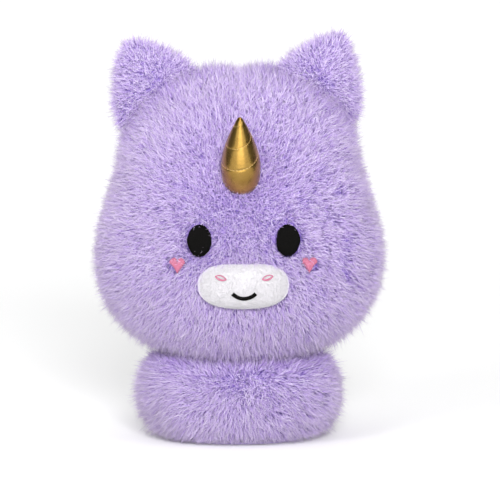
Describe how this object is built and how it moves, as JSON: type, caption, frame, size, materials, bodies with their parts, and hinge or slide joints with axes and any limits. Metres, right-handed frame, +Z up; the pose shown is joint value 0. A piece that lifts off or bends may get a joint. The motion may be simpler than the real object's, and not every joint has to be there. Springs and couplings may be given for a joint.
{
  "type": "plush unicorn",
  "caption": "Stuffed lilac pile toy with a big rounded head on a small flat-bottomed base, two ears, a padded gold horn and an embroidered face.",
  "frame": {"origin": "centre of the base's flat underside, which is what the toy stands on", "axes": "+Z up, the face looks along -Y, +X to the right as seen from the front"},
  "size_m": [0.2046, 0.1692, 0.2895],
  "materials": {
    "lilac_pile": "soft long-pile knit with fine lilac fibres about 9 mm long",
    "lilac_short_pile": "short lilac velboa",
    "fibrefill": "white polyester fibrefill",
    "pouch_cotton": "plain woven pouch filled with plastic pellets",
    "lilac_thread": "polyester sewing thread",
    "gold_leatherette": "metallic gold coated fabric, softly creased",
    "gold_thread": "gold polyester thread",
    "black_thread": "glossy black satin stitch",
    "pink_thread": "pink satin stitch",
    "white_short_pile": "white velboa with a pile about 1 mm long"
  },
  "bodies": {
    "base": {"base_front_panel": "lilac_pile", "base_back_left_panel": "lilac_pile", "base_back_right_panel": "lilac_pile", "base_underside": "lilac_short_pile", "base_stuffing": "fibrefill", "pellet_pouch": "pouch_cotton", "neck_stuffing": "fibrefill", "closing_stitches": "lilac_thread"},
    "head": {"head_front_panel": "lilac_pile", "head_back_left_panel": "lilac_pile", "head_back_right_panel": "lilac_pile", "head_stuffing": "fibrefill", "left_eye": "black_thread", "right_eye": "black_thread", "left_cheek_heart": "pink_thread", "right_cheek_heart": "pink_thread", "muzzle_cover": "white_short_pile", "muzzle_padding": "fibrefill", "left_nostril": "pink_thread", "right_nostril": "pink_thread", "mouth_stitching": "black_thread"},
    "left_ear": {"left_ear_front": "lilac_pile", "left_ear_back": "lilac_pile", "left_ear_stuffing": "fibrefill"},
    "right_ear": {"right_ear_front": "lilac_pile", "right_ear_back": "lilac_pile", "right_ear_stuffing": "fibrefill"},
    "horn": {"horn_cover": "gold_leatherette", "horn_stuffing": "fibrefill", "horn_spiral_stitching": "gold_thread"}
  },
  "joints": [
    {"name": "neck_nod", "type": "hinge", "parent": "base", "child": "head", "pos_m": [0, 0, 0.056], "axis": [1, 0, 0], "range_deg": [-6, 6], "stiffness_Nm_per_rad": 2},
    {"name": "left_ear_fold", "type": "hinge", "parent": "head", "child": "left_ear", "pos_m": [-0.055, 0, 0.239], "axis": [0.766, 0, 0.6428], "range_deg": [-22, 22], "stiffness_Nm_per_rad": 0.1},
    {"name": "right_ear_fold", "type": "hinge", "parent": "head", "child": "right_ear", "pos_m": [0.0525, 0, 0.2405], "axis": [0.809, 0, -0.5878], "range_deg": [-22, 22], "stiffness_Nm_per_rad": 0.1},
    {"name": "horn_lean", "type": "hinge", "parent": "head", "child": "horn", "pos_m": [-0.0015, -0.06, 0.1895], "axis": [1, 0, 0], "range_deg": [-15, 15], "stiffness_Nm_per_rad": 0.1}
  ]
}
